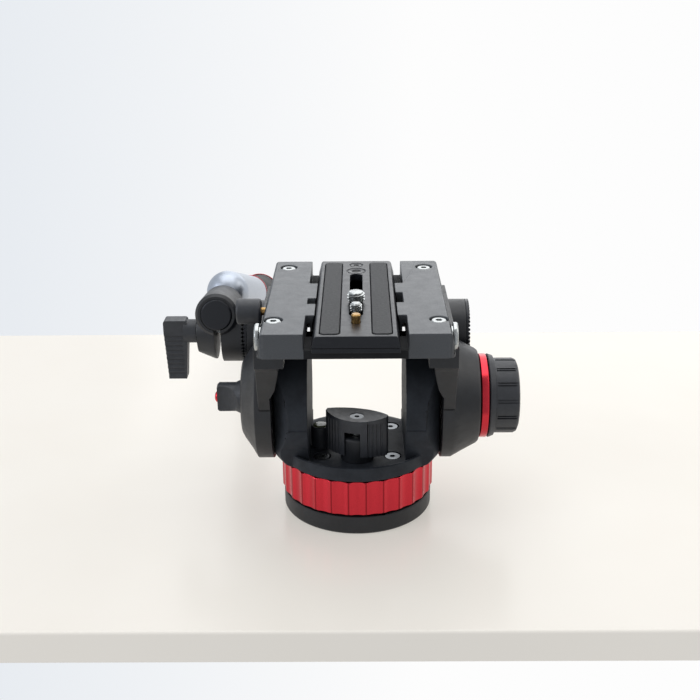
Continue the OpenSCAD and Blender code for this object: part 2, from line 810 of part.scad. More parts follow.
module tilt_drag_knob() {
  groove_w = 2.4;
  groove_d = 0.8;
  color(soft_black) at_tilt() difference() {
    turned_x([[0, skirt_x0], [band_r - 0.3, skirt_x0], [band_r, skirt_x0 + 0.5], [band_r - 1, knob_x0],
      [knob_r, knob_x0], [knob_r, knob_x1 - 2.6], [knob_r - 0.8, knob_x1 - 0.8], [knob_r - 2.6, knob_x1],
      [0, knob_x1]]);
    bar_along_x(shaft_r + seat_gap, skirt_x0 - 1, knob_x0 + 5.1);
    for (i = [0 : knob_ribs - 1]) rotate([i * 360 / knob_ribs, 0, 0])
      translate([knob_x0 + 1.2, -groove_w / 2, knob_r - groove_d]) cube([knob_l, groove_w, 2]);
  }
}

module tilt_lock_lever() {
  scoop = 12;
  color(black) mirror([1, 0, 0]) at_tilt() difference() {
    turned_x([[0, lever_x0], [lever_r + 2, lever_x0], [lever_r + 1.2, lever_x0 + 1.6], [lever_r,
      lever_x0 + 4],
      [lever_r, lever_x1 - 1], [lever_r - 1, lever_x1], [0, lever_x1]]);
    bar_along_x(lever_stud_r + seat_gap, lever_x0 - 1, lever_x0 + 7);
    for (y = [-1, 1]) translate([lever_x1 - 2, y * (scoop + 3.4), -lever_r - 3]) cylinder(r = scoop,
      h = 2 * lever_r + 6);
  }
}

module tilt_lock_stud() {
  color(steel) mirror([1, 0, 0]) at_tilt() bar_along_x(lever_stud_r, axle_x1 + 0.8, lever_x0 + 6.9);
}

module tilt_lock_cap() {
  cap_r = 3.3;
  color(red) mirror([1, 0, 0]) at_tilt() turned_x([[0, lever_x1], [cap_r, lever_x1], [cap_r - 0.3,
    lever_x1 + 0.8],
    [cap_r - 1.4, lever_x1 + 1.5], [0, lever_x1 + 1.8]]);
}

// Deck

// End view of the deck, with drafted sides and broken top edges
module deck_end() {
  low = deck_w / 2;
  top = low - deck_draft;
  polygon([[-low, deck_z0], [low, deck_z0], [top, deck_z1 - 1], [top - 1, deck_z1], [1 - top, deck_z1],
    [-top, deck_z1 - 1]]);
}

// Dovetail between the jaws
module jaw_cut() {
  polygon([[-jaw_low_x, channel_z], [jaw_low_x, channel_z], [jaw_low_x, channel_z + 3.8], [jaw_top_x,
    deck_z1 + 1],
    [-jaw_top_x, deck_z1 + 1], [-jaw_low_x, channel_z + 3.8]]);
}

module accessory_hole_cut() {
  translate([0, -accessory_y, accessory_z]) {
    bar_along_x(accessory_r - 2 + seat_gap, accessory_x0 - accessory_hole, deck_w);
    bar_along_x(accessory_r + 0.1, accessory_x0, deck_w);
  }
}

module deck() {
  color(grey) difference() {
    intersection() {
      slab_y(-deck_front, deck_rear) deck_end();
      round_block([-deck_w / 2, -deck_front, deck_z0 - 1], [deck_w / 2, deck_rear, deck_z1 + 1],
        deck_corner);
    }
    slab_y(-deck_front - 1, deck_rear + 1) jaw_cut();
    translate([-channel_x, -deck_front - 1, channel_z])
      cube([2 * channel_x, deck_front + 1 - jaw_front, deck_t]);
    translate([-channel_x, jaw_rear, channel_z]) cube([2 * channel_x, deck_rear + 1 - jaw_rear, deck_t]);
    translate([0, -jaw_notch_front, channel_z]) cube([channel_x - 0.8, jaw_notch_l, deck_t]);
    for (side = [-1, 1]) translate([side * (channel_x - 1.2) - 1, -floor_slot_front, deck_z0 - 1])
      cube([2, floor_slot_l, deck_floor + 1 + floor_slot_up]);
    for (side = [-1, 1], place = deck_screws) translate([side * place[0], place[1], 0]) {
      translate([0, 0, deck_z0 - 1]) cylinder(r = deck_shank_r + seat_gap, h = deck_t + 2);
      translate([0, 0, deck_z1 - deck_sink]) cylinder(r = deck_screw_r, h = deck_sink + 1);
    }
    for (side = [0, 1]) mirror([side, 0, 0]) accessory_hole_cut();
    translate([-shoe_in - shoe_bay, -plate_lock_y - shoe_w / 2 - 0.3, channel_z])
      cube([shoe_bay + 1, shoe_w + 0.6, deck_t]);
    translate([0, -plate_lock_y, plate_lock_z]) bar_along_x(plate_stud_r + run_gap / 2, -deck_w, -shoe_in);
  }
}

module deck_screws() {
  color(steel) for (side = [-1, 1], place = deck_screws) translate([side * place[0], place[1], 0])
    difference() {
    union() {
      disc(deck_shank_r, foot_z0 + 1.2, deck_z1 - deck_sink + 0.1);
      rotate_extrude() polygon([[0, deck_z1 - deck_sink], [deck_screw_r - 0.7, deck_z1 - deck_sink],
        [deck_screw_r - 0.7, deck_z1 - 1.1], [deck_screw_r - 1.5, deck_z1 - 0.5], [0, deck_z1 - 0.5]]);
    }
    hex_socket(1.9, deck_z1 - 0.5, 1.5);
  }
}

module accessory_insert() {
  translate([0, -accessory_y, accessory_z]) difference() {
    turned_x([[0, accessory_x0 - accessory_hole], [accessory_r - 2, accessory_x0 - accessory_hole],
      [accessory_r - 2, accessory_x0], [accessory_r, accessory_x0], [accessory_r,
      accessory_x0 + accessory_flange - 0.6],
      [accessory_r - 0.6, accessory_x0 + accessory_flange], [0, accessory_x0 + accessory_flange]]);
    bar_along_x(thread_r, accessory_x0 + accessory_flange - accessory_hole, deck_w);
  }
}

module accessory_insert_left() {
  color(steel) mirror([1, 0, 0]) accessory_insert();
}

module accessory_insert_right() {
  color(steel) accessory_insert();
}

// Radial teeth cut into a face that looks along +X
module tooth_cuts(face) {
  from = tooth_in_r - 0.5;
  for (i = [0 : rosette_teeth - 1]) rotate([i * 360 / rosette_teeth, 0, 0]) translate([0, 0, from])
    linear_extrude(rosette_r + 2 - from)
      polygon([[face + 0.05, -tooth_w / 2], [face + 0.05, tooth_w / 2], [face - tooth_d, 0]]);
}

module rosette() {
  at_pivot() difference() {
    turned_x([[bolt_r + 0.3, rosette_x - tooth_h], [rosette_r, rosette_x - tooth_h], [rosette_r, rosette_x],
      [tooth_in_r, rosette_x], [tooth_in_r, rosette_x - tooth_relief], [bolt_r + 0.3,
      rosette_x - tooth_relief]]);
    tooth_cuts(rosette_x);
  }
}

module rosette_left() {
  color(soft_black) mirror([1, 0, 0]) rosette();
}

module rosette_right() {
  color(soft_black) rosette();
}

// Camera plate

module plate_end() {
  top = plate_w / 2;
  polygon([[-plate_low_x, plate_z0], [plate_low_x, plate_z0], [plate_low_x, plate_z0 + 3.6],
    [top + 0.3, plate_z1 - 0.8], [top - 0.5, plate_z1], [0.5 - top, plate_z1], [-top - 0.3, plate_z1 - 0.8],
    [-plate_low_x, plate_z0 + 3.6]]);
}

pad_front = plate_front - 2.9;
pad_rear = plate_rear - 4.2;
pad_in = 8;
pad_sink = pad_t - 0.4;

module camera_plate() {
  color(soft_black) difference() {
    slab_y(-plate_front, plate_rear) plate_end();
    translate([-plate_w, -plate_front - 1, plate_z0 - 1]) cube([2 * plate_w, 4, 4.4]);
    for (side = [0, 1]) mirror([side, 0, 0])
      round_block([pad_in - seat_gap, -pad_front - seat_gap, plate_z1 - pad_sink],
        [pad_in + pad_w + seat_gap, pad_rear + seat_gap, plate_z1 + 1], 2.5);
    round_block([-slot_w / 2, -slot_front, plate_z0 - 1], [slot_w / 2, slot_rear, plate_z1 + 1],
      slot_w / 2 - eps);
    round_block([-head_slot_w / 2, -slot_front - 4.5, plate_z0 - 1],
      [head_slot_w / 2, slot_rear, plate_z0 + head_slot_h], 2);
    translate([0, slot_rear + 6, plate_z1 - 0.6]) cylinder(r = 5.6, h = 2);
    translate([0, slot_rear + 18, plate_z1 - 0.6]) cylinder(r = 4, h = 2);
    translate([0, -pin_y, plate_z0 - 1]) cylinder(r = pin_r + seat_gap, h = plate_t + 2);
    translate([0, -pin_y, plate_z0 - 1]) cylinder(r = pin_r + 1.4, h = plate_t - 3);
  }
}

module plate_pads() {
  color("#37383b") for (side = [0, 1]) mirror([side, 0, 0])
    round_block([pad_in, -pad_front, plate_z1 - pad_sink], [pad_in + pad_w, pad_rear,
      plate_z1 - pad_sink + pad_t], 2.5);
}

head_z1 = plate_z0 + head_slot_h - slip - clip_t - slip;

// A captive camera screw: slotted head under the plate, thin neck in the slot, thread over the plate
module camera_screw(r, y, neck, up) {
  color(steel) translate([0, -y, 0]) difference() {
    rotate_extrude() polygon([[0, head_z1 - head_h], [head_r, head_z1 - head_h], [head_r, head_z1], [neck,
      head_z1],
      [neck, plate_z1 + 0.5], [r, plate_z1 + 1.2], [r, plate_z1 + up - 1], [r - 1, plate_z1 + up], [0,
      plate_z1 + up]]);
    translate([-head_r - 1, -0.8, head_z1 - head_h - 1]) cube([2 * head_r + 2, 1.6, 2.4]);
  }
}

// A thin slip washer between the plate and a captive screw's head
module screw_washer(y, neck) {
  color(brass) translate([0, -y, 0]) disc(head_r, head_z1 + slip, head_z1 + slip + clip_t, neck + slip);
}

neck38 = slot_w / 2 - 0.4;
neck14 = screw14_r - 0.6;

module camera_screw_38() {
  camera_screw(screw38_r, screw38_y, neck38, screw_up);
}

module screw_washer_38() {
  screw_washer(screw38_y, neck38);
}

module camera_screw_14() {
  camera_screw(screw14_r, screw14_y, neck14, screw_up - 0.6);
}

module screw_washer_14() {
  screw_washer(screw14_y, neck14);
}

pin_stop = plate_z0 + plate_t - 4;
pin_collar = 0.9;
pin_floor = plate_z0 + 0.9;

module locating_pin() {
  color(brass) translate([0, -pin_y, 0]) rotate_extrude() polygon([[0, pin_stop - pin_collar - slip],
    [pin_r + 1, pin_stop - pin_collar - slip], [pin_r + 1, pin_stop - slip], [pin_r, pin_stop - slip],
    [pin_r, plate_z1 + pin_up - 0.6], [pin_r - 0.6, plate_z1 + pin_up], [0, plate_z1 + pin_up]]);
}

module pin_spring() {
  wire = 0.25;
  turns = 4;
  span = pin_stop - pin_collar - slip - pin_floor - 2 * wire - 0.2;
  color(steel) translate([0, -pin_y, pin_floor + wire + 0.1]) coil(pin_r + 0.3, wire, turns, span / turns);
}

module pin_plug() {
  color(steel) translate([0, -pin_y, 0]) disc(pin_r + 1.4 - seat_gap, plate_z0, pin_floor);
}

module plate_lock_knob() {
  x1 = plate_knob_x0 + plate_knob_l;
  color(black) mirror([1, 0, 0]) translate([0, -plate_lock_y, plate_lock_z]) difference() {
    turned_x([[0, plate_knob_x0], [plate_knob_r - 0.8, plate_knob_x0], [plate_knob_r, plate_knob_x0 + 0.8],
      [plate_knob_r, x1 - 0.8], [plate_knob_r - 0.8, x1], [0, x1]]);
    bar_along_x(plate_stud_r + seat_gap, plate_knob_x0 - 1, plate_knob_x0 + 8);
  }
}

module plate_lock_stud() {
  color(brass) mirror([1, 0, 0]) translate([0, -plate_lock_y, plate_lock_z])
    bar_along_x(plate_stud_r, shoe_in + shoe_bay + 0.3, plate_knob_x0 + 7.9);
}

module plate_clamp_shoe() {
  color(steel) translate([-shoe_in - shoe_t, -plate_lock_y - shoe_w / 2, shoe_z - shoe_h / 2 - 1])
    cube([shoe_t, shoe_w, shoe_h]);
}

// Pan bar

// The clamp with its slit: ring over the spigot, a jaw on each side of the slit
module bar_clamp() {
  color(black) difference() {
    union() {
      at_clamp() rotate([-90, 0, 0]) rotate_extrude() polygon([[0, 0], [clamp_r - 1.6, 0], [clamp_r, 1.8],
        [clamp_r, clamp_l - 1], [clamp_r - 1, clamp_l], [0, clamp_l]]);
      mirror([1, 0, 0]) at_pivot() {
        bar_along_x(rosette_r, clamp_face, bar_x);
        turned_x([[0, bar_x - 1], [rosette_r - 1.5, bar_x - 1], [rosette_r - 1.5, bar_x + slit_w / 2 + 1],
          [rosette_r - 5.5, clamp_out], [0, clamp_out]]);
      }
    }
    mirror([1, 0, 0]) at_pivot() {
      bar_along_x(bolt_r + 0.3, clamp_face - 1, clamp_out + 1);
      bar_along_x(tooth_in_r, clamp_face - 1, clamp_face + tooth_relief);
      mirror([1, 0, 0]) tooth_cuts(-clamp_face);
    }
    at_clamp() rotate([-90, 0, 0]) {
      translate([0, 0, -1]) cylinder(r = spigot_r + seat_gap, h = clamp_l + 30);
      translate([0, 0, -1]) cylinder(r = spigot_r + 0.6 + seat_gap, h = 3);
    }
    at_clamp() translate([-slit_w / 2, -30, -3 * clamp_r]) cube([slit_w, clamp_l + 60, 3 * clamp_r]);
  }
}

spigot_l = clamp_l + 10;

module spigot_shape(gap) {
  at_clamp() rotate([-90, 0, 0]) rotate_extrude() polygon([[0, -0.6], [spigot_r - 0.2, -0.6],
    [spigot_r + 0.6 + gap, 0.2],
    [spigot_r + 0.6 + gap, 1.9], [spigot_r + gap, 1.9], [spigot_r + gap, spigot_l + gap], [0,
      spigot_l + gap]]);
}

module bar_spigot() {
  color(soft_black) spigot_shape(0);
}

module bar_tube() {
  inner = tube_r - tube_wall;
  stem = grip_r - grip_wall - seat_gap;
  dome = [for (a = [-90 : 15 : 0]) [tube_r * cos(a), tube_r * sin(a)]];
  color(silver) difference() {
    at_tube() rotate_extrude() polygon(concat(dome, [[tube_r, tube_l], [stem, tube_l], [stem,
      tube_l + grip_l - 12],
      [stem - 2, tube_l + grip_l - 12], [stem - 2, tube_l - 4], [inner, tube_l - 6], [inner, 14], [0, 14]]));
    spigot_shape(seat_gap);
  }
}

module bar_grip() {
  stem = grip_r - grip_wall;
  end = tube_l + grip_l;
  color(soft_black) at_tube() rotate_extrude() polygon([[stem, tube_l + 2.5], [grip_r - 0.4, tube_l + 2.5],
    [grip_r, tube_l + 4], [grip_r, end - 26], [grip_r + 1, end - 14], [flare_r - 0.8, end - 5],
      [flare_r - 0.8, end - 2],
    [flare_r - 2, end], [0, end], [0, end - 11.8], [stem, end - 11.8]]);
}

module grip_front_ring() {
  stem = grip_r - grip_wall;
  color(red) at_tube() rotate_extrude() polygon([[stem, tube_l + seat_gap], [grip_r, tube_l + seat_gap],
    [grip_r, tube_l + 2.5], [stem, tube_l + 2.5]]);
}

module grip_end_ring() {
  end = tube_l + grip_l;
  color(red) at_tube() rotate_extrude() polygon([[flare_r - 0.8 + seat_gap, end - 4.8], [flare_r, end - 4.8],
    [flare_r, end - 2.2], [flare_r - 0.8 + seat_gap, end - 2.2]]);
}

module bar_clamp_bolt() {
  color(steel) mirror([1, 0, 0]) at_pivot() bar_along_x(bolt_r, deck_w / 2 + 3, paddle_x0 - 0.5);
}

module bar_lever_washer() {
  color(steel) mirror([1, 0, 0]) at_pivot() turned_x([[bolt_r + 0.3, clamp_out + 0.1], [6, clamp_out + 0.1],
    [6, clamp_out + 0.1 + lever_washer], [bolt_r + 0.3, clamp_out + 0.1 + lever_washer]]);
}

// Front view of the lever's paddle
module paddle_front() {
  lean = 1.6;
  intersection() {
    translate([paddle_x0 + paddle_w / 2, (paddle_up - paddle_down) / 2])
      round_rect(paddle_w, paddle_up + paddle_down, 1.6);
    polygon([[paddle_x0, paddle_up], [paddle_x0, -lever_hub_r], [paddle_x0 + lean, -paddle_down],
      [paddle_x0 + paddle_w - lean, -paddle_down], [paddle_x0 + paddle_w, 0], [paddle_x0 + paddle_w,
      paddle_up]]);
  }
}

module bar_lever() {
  rib_step = 2.9;
  color(soft_black) mirror([1, 0, 0]) at_pivot() difference() {
    union() {
      bar_along_x(lever_hub_r, lever_hub_x0, paddle_x0 + 2);
      slab_y(-paddle_t / 2, paddle_t / 2) paddle_front();
    }
    bar_along_x(bolt_r + seat_gap, lever_hub_x0 - 1, paddle_x0 - 0.4);
    for (side = [-1, 1], z = [-paddle_down + 3 : rib_step : 0]) translate([0, side * (paddle_t / 2 + 0.4), z])
      bar_along_x(1, paddle_x0 + 2.6, paddle_x0 + paddle_w + 1);
  }
}

base_plate();
thread_insert();
pan_bearing();
pan_thrust_washer();
pan_fluid_cartridge();
pan_drag_ring();
pan_spindle();
spindle_clip();
yoke();
floor_screws();
pan_lock_post();
pan_lock_stud();
pan_lock_knob();
pan_lock_screw();
level_body();
level_vial();
tilt_axle_left();
tilt_axle_right();
tilt_bearing_left();
tilt_bearing_right();
tilt_housing_left();
tilt_housing_right();
tilt_fluid_cartridge();
counterbalance_spring();
tilt_red_band();
tilt_drag_shaft();
tilt_drag_knob();
tilt_lock_lever();
tilt_lock_stud();
tilt_lock_cap();
deck();
deck_screws();
accessory_insert_left();
accessory_insert_right();
rosette_left();
rosette_right();
camera_plate();
plate_pads();
screw_washer_38();
camera_screw_38();
screw_washer_14();
camera_screw_14();
locating_pin();
pin_spring();
pin_plug();
plate_lock_knob();
plate_lock_stud();
plate_clamp_shoe();
bar_clamp();
bar_spigot();
bar_tube();
bar_grip();
grip_front_ring();
grip_end_ring();
bar_clamp_bolt();
bar_lever();
bar_lever_washer();
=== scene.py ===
"""Looks, floor, light and camera for a fluid video head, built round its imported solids."""

import json
import math

import bmesh
import bpy
from mathutils import Matrix, Vector
from mathutils.bvhtree import BVHTree


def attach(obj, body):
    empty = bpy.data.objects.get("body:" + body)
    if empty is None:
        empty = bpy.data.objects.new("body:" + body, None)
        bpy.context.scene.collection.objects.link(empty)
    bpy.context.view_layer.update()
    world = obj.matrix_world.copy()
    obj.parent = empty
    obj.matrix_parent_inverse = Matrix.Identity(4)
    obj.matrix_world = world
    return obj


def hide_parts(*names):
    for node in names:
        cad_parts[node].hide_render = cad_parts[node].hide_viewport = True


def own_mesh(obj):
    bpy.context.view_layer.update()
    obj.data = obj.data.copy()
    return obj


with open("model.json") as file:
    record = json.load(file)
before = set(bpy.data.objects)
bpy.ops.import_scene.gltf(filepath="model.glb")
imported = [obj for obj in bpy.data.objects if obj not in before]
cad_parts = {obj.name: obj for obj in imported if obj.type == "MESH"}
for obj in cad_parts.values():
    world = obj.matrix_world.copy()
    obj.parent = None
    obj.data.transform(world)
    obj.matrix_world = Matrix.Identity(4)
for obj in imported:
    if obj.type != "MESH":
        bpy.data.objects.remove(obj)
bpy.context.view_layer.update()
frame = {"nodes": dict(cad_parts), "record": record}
NODES = frame["nodes"]
MM = 0.001
BODY_OF = {node: body for body, nodes in frame["record"]["behaviour"]["bodies"].items() for node in nodes}
SLOT_OF = {part["node"]: part["material_slot"] for part in frame["record"]["subparts"]}

# The plate's channel in the deck: half its width, and the height that its floor and walls stay below
CHANNEL_HALF_MM = 26.4
CHANNEL_TOP_MM = 119.9
RING_FLUTES = 28
KNOB_GROOVES = 14
KNOB_RADIUS_MM = 21.5

# Standard camera threads: radius, pitch and the length that stands above the plate
THREAD_38_MM = (4.76, 1.588, 5.2)
THREAD_14_MM = (3.17, 1.27, 4.6)

# Bushes at the rear end of the plate's slot: place along the plate, outer radius and hole radius
PLATE_BUSHES_MM = ((37, 4.9, 2.6), (49, 3.4, 1.5))

# The photograph's camera, fitted to the outlines of base, deck and knobs
LENS_MM = 57.15
SENSOR_MM = 36
CAMERA_PLACE_MM = (2.15, -587.91, 318.03)
CAMERA_PITCH_YAW_ROLL = (20.82, -0.57, -0.55)

# The table top's edges and thickness in metres, as seen in the photograph
TABLE_FRONT = -0.1347
TABLE_REAR = 0.2885
TABLE_HALF = 3.0
TABLE_THICK = 0.018


def linear(code, alpha=1.0):
    """Turn an sRGB hex colour into the linear colour that shaders take."""
    parts = [int(code[i:i + 2], 16) / 255 for i in (1, 3, 5)]
    return [c / 12.92 if c <= 0.04045 else ((c + 0.055) / 1.055) ** 2.4 for c in parts] + [alpha]


def add(tree, kind, links=None, **settings):
    """Add one node. links maps its inputs to values or to other nodes' outputs."""
    node = tree.nodes.new(kind)
    for name, value in settings.items():
        setattr(node, name, value)
    for key, value in (links or {}).items():
        if isinstance(value, bpy.types.NodeSocket):
            tree.links.new(value, node.inputs[key])
        else:
            node.inputs[key].default_value = value
    return node


# Materials


def shader(name, **inputs):
    """Start a material: its tree, its main shader and the place on the piece in metres."""
    material = bpy.data.materials.new(name)
    material.use_nodes = True
    tree = material.node_tree
    main = tree.nodes["Principled BSDF"]
    for key, value in inputs.items():
        main.inputs[key.replace("_", " ")].default_value = value
    place = add(tree, "ShaderNodeTexCoord").outputs["Object"]
    return material, tree, main, place


def mottle(tree, place, size_mm, low, high, detail=4.0, stretch=(1, 1, 1)):
    """Noise whose patches are size_mm across, mapped to lie between low and high."""
    turned = add(tree, "ShaderNodeMapping", {"Vector": place, "Scale": stretch})
    noise = add(tree, "ShaderNodeTexNoise", {
        "Vector": turned.outputs["Vector"], "Scale": 1 / (size_mm * MM),
        "Detail": detail, "Roughness": 0.6})
    spread = add(tree, "ShaderNodeMapRange", {
        "Value": noise.outputs["Fac"], "From Min": 0.3, "From Max": 0.7, "To Min": low, "To Max": high})
    return spread.outputs["Result"]


def tint(tree, amount, dark, light):
    """Blend two sRGB colours by amount."""
    mix = add(tree, "ShaderNodeMix", {"Factor": amount}, data_type="RGBA")
    mix.inputs[6].default_value = linear(dark)
    mix.inputs[7].default_value = linear(light)
    return mix.outputs[2]


def grain(tree, main, height, depth_mm, strength):
    """Raise the surface by a height pattern."""
    bump = add(tree, "ShaderNodeBump", {
        "Height": height, "Distance": depth_mm * MM, "Strength": strength})
    tree.links.new(bump.outputs["Normal"], main.inputs["Normal"])


def powder_coat(name, dark, light, rough, ior=1.5):
    """Baked powder coat on a casting: fine orange peel, slightly uneven sheen."""
    material, tree, main, place = shader(name, IOR=ior)
    patch = mottle(tree, place, 9, 0, 1, 3)
    tree.links.new(tint(tree, patch, dark, light), main.inputs["Base Color"])
    tree.links.new(mottle(tree, place, 5, rough - 0.05, rough + 0.05), main.inputs["Roughness"])
    # Real peel is about 0.3 mm; drawn at 0.7 mm so that it shows
    grain(tree, main, mottle(tree, place, 0.7, 0, 1, 2), 0.05, 0.35)
    return material


def deck_paint():
    """Grey metallic paint on the deck casting: fine flake, darker in the plate's channel."""
    material, tree, main, place = shader("grey_metallic_paint", IOR=1.5, Metallic=0.15)
    flake = mottle(tree, place, 0.45, 0, 1, 1)
    grey = tint(tree, flake, "#44474a", "#5b5e62")
    axes = add(tree, "ShaderNodeSeparateXYZ", {"Vector": place})
    across = add(tree, "ShaderNodeMath", {0: axes.outputs["X"]}, operation="ABSOLUTE")
    inside = add(tree, "ShaderNodeMath", {
        0: across.outputs[0], 1: CHANNEL_HALF_MM * MM}, operation="LESS_THAN")
    low = add(tree, "ShaderNodeMath", {
        0: axes.outputs["Z"], 1: CHANNEL_TOP_MM * MM}, operation="LESS_THAN")
    both = add(tree, "ShaderNodeMath", {0: inside.outputs[0], 1: low.outputs[0]}, operation="MULTIPLY")
    mix = add(tree, "ShaderNodeMix", {"Factor": both.outputs[0]}, data_type="RGBA")
    tree.links.new(grey, mix.inputs[6])
    mix.inputs[7].default_value = linear("#121316")
    tree.links.new(mix.outputs[2], main.inputs["Base Color"])
    matt = add(tree, "ShaderNodeMath", {
        0: both.outputs[0], 1: 0.4, 2: mottle(tree, place, 6, 0.38, 0.48)}, operation="MULTIPLY_ADD")
    tree.links.new(matt.outputs[0], main.inputs["Roughness"])
    # Cast texture under the paint, about half a millimetre
    grain(tree, main, mottle(tree, place, 0.5, 0, 1, 2), 0.04, 0.4)
    return material


def anodised(name, dark, light, rough, metallic=1.0):
    """Anodised aluminium: dyed metal with faint turning marks along its axis."""
    material, tree, main, place = shader(name, Metallic=metallic)
    marks = mottle(tree, place, 0.6, 0, 1, 2, (1, 1, 4))
    tree.links.new(tint(tree, marks, dark, light), main.inputs["Base Color"])
    tree.links.new(mottle(tree, place, 3, rough - 0.04, rough + 0.06), main.inputs["Roughness"])
    grain(tree, main, marks, 0.006, 0.12)
    return material


def painted_ridge_shade(material, count):
    """Paint shade as a thin dark line at each of count ridges between flutes round an upright axis, where
    the narrow grooves would shade themselves.
    """
    tree = material.node_tree
    colour = tree.nodes["Principled BSDF"].inputs["Base Color"]
    place = add(tree, "ShaderNodeTexCoord").outputs["Object"]
    axes = add(tree, "ShaderNodeSeparateXYZ", {"Vector": place})
    turn = add(tree, "ShaderNodeMath", {0: axes.outputs["Y"], 1: axes.outputs["X"]}, operation="ARCTAN2")
    flutes = add(tree, "ShaderNodeMath", {0: turn.outputs[0], 1: count}, operation="MULTIPLY")
    wave = add(tree, "ShaderNodeMath", {0: flutes.outputs[0]}, operation="COSINE")
    # The wave is 1 in the middle of a flute and -1 on a ridge, so this band is about 0.7 mm wide
    line = add(tree, "ShaderNodeMapRange", {
        "Value": wave.outputs[0], "From Min": -0.94, "From Max": -0.985, "To Min": 0, "To Max": 1})
    mix = add(tree, "ShaderNodeMix", {"Factor": line.outputs["Result"]}, data_type="RGBA")
    tree.links.new(colour.links[0].from_socket, mix.inputs[6])
    # Painted shade: a darker red on each ridge, for the shade in the narrow grooves between flutes
    mix.inputs[7].default_value = linear("#94262e")
    tree.links.new(mix.outputs[2], colour)
    return material


def moulded_nylon():
    """Glass-filled nylon mouldings: near black, fine spark-eroded grain."""
    material, tree, main, place = shader("moulded_black_nylon", IOR=1.53)
    patch = mottle(tree, place, 4, 0, 1, 3)
    tree.links.new(tint(tree, patch, "#272a2f", "#32353b"), main.inputs["Base Color"])
    tree.links.new(mottle(tree, place, 2.5, 0.42, 0.55), main.inputs["Roughness"])
    grain(tree, main, mottle(tree, place, 0.6, 0, 1, 2), 0.05, 0.45)
    return material


def pad_rubber(name, dark, light):
    """Nitrile rubber: matt charcoal with a fine pebbled skin."""
    material, tree, main, place = shader(name, IOR=1.52)
    patch = mottle(tree, place, 1.2, 0, 1, 3)
    tree.links.new(tint(tree, patch, dark, light), main.inputs["Base Color"])
    tree.links.new(mottle(tree, place, 1.5, 0.6, 0.72), main.inputs["Roughness"])
    pebble = add(tree, "ShaderNodeTexVoronoi", {"Vector": place, "Scale": 1 / (0.8 * MM)})
    grain(tree, main, pebble.outputs["Distance"], 0.08, 0.5)
    return material


def plated_steel():
    """Bright zinc-plated steel: clear reflections with fine turning marks."""
    material, tree, main, place = shader("bright_zinc_steel", Metallic=1.0)
    marks = mottle(tree, place, 0.5, 0, 1, 2, (1, 1, 3))
    tree.links.new(tint(tree, marks, "#9fa2a2", "#babdbd"), main.inputs["Base Color"])
    tree.links.new(mottle(tree, place, 1.5, 0.16, 0.28), main.inputs["Roughness"])
    grain(tree, main, marks, 0.004, 0.12)
    return material


def turned_brass():
    """Turned brass: warm yellow with rings of tool marks."""
    material, tree, main, place = shader("turned_brass", Metallic=1.0)
    marks = mottle(tree, place, 0.4, 0, 1, 2, (1, 1, 5))
    tree.links.new(tint(tree, marks, "#8d6f44", "#b4935f"), main.inputs["Base Color"])
    tree.links.new(mottle(tree, place, 1, 0.22, 0.34), main.inputs["Roughness"])
    grain(tree, main, marks, 0.01, 0.3)
    return material


def level_liquid():
    """Spirit level: clear acrylic over yellow-green spirit."""
    material, tree, main, place = shader(
        "acrylic_spirit_vial", IOR=1.49, Transmission_Weight=0.6, Roughness=0.08)
    patch = mottle(tree, place, 3, 0, 1, 1)
    tree.links.new(tint(tree, patch, "#5f7034", "#8b9b55"), main.inputs["Base Color"])
    return material


def table_lacquer():
    """Cream lacquer on the table: smooth, with blurred reflections, and a glow that only the eye sees."""
    material, tree, main, place = shader("cream_lacquer", IOR=1.5, Roughness=0.22)
    cream = tint(tree, mottle(tree, place, 90, 0, 1, 2), "#faf5ec", "#fdf9f1")
    tree.links.new(cream, main.inputs["Base Color"])
    glow = add(tree, "ShaderNodeEmission", {"Color": linear("#fffaf1"), "Strength": 1.0})
    rays = add(tree, "ShaderNodeLightPath")
    seen = add(tree, "ShaderNodeMath", {
        0: rays.outputs["Is Camera Ray"], 1: rays.outputs["Is Glossy Ray"]}, operation="MAXIMUM")
    share = add(tree, "ShaderNodeMath", {0: seen.outputs[0], 1: 0.42}, operation="MULTIPLY")
    mix = add(tree, "ShaderNodeMixShader", {
        0: share.outputs[0], 1: main.outputs["BSDF"], 2: glow.outputs["Emission"]})
    tree.links.new(mix.outputs[0], tree.nodes["Material Output"].inputs["Surface"])
    return material


CASTING = powder_coat("black_powder_coat", "#16181c", "#1f2227", 0.46)
YOKE = powder_coat("black_satin_coat", "#303338", "#3c4046", 0.54, 1.2)
DECK = deck_paint()
BLACK_ANODISED = anodised("black_anodised_aluminium", "#1b1d22", "#25282e", 0.34, 0.4)
RED_ANODISED = anodised("red_anodised_aluminium", "#c4323d", "#cc3a45", 0.2)
# The fluted ring's finish, with painted shade lines on its ridges
RED_RING = painted_ridge_shade(anodised("red_anodised_ring", "#c4323d", "#cc3a45", 0.2), RING_FLUTES)
SILVER_TUBE = anodised("satin_silver_aluminium", "#9ba3ae", "#aeb4be", 0.36)
NYLON = moulded_nylon()
PAD = pad_rubber("pebbled_black_rubber", "#1b1d20", "#26282b")
GRIP = pad_rubber("foam_rubber_grip", "#18191b", "#222427")
# Painted shade: a near-black matt finish for the discs that stand for the depth of the plate bushes' holes
BORE_SHADE = pad_rubber("painted_bore_shade", "#0c0d0e", "#131416")
STEEL = plated_steel()
DULL_STEEL = anodised("dull_zinc_steel", "#6d7073", "#7c7f82", 0.34)
BRASS = turned_brass()
VIAL = level_liquid()

FINISH = {
    "black_casting": CASTING, "grey_casting": DECK, "black_anodised": BLACK_ANODISED,
    "red_anodised": RED_ANODISED, "silver_anodised": SILVER_TUBE, "black_plastic": NYLON,
    "black_rubber": PAD, "bright_steel": STEEL, "drum_metal": SILVER_TUBE, "brass": BRASS,
    "vial_glass": VIAL,
}


# Pieces


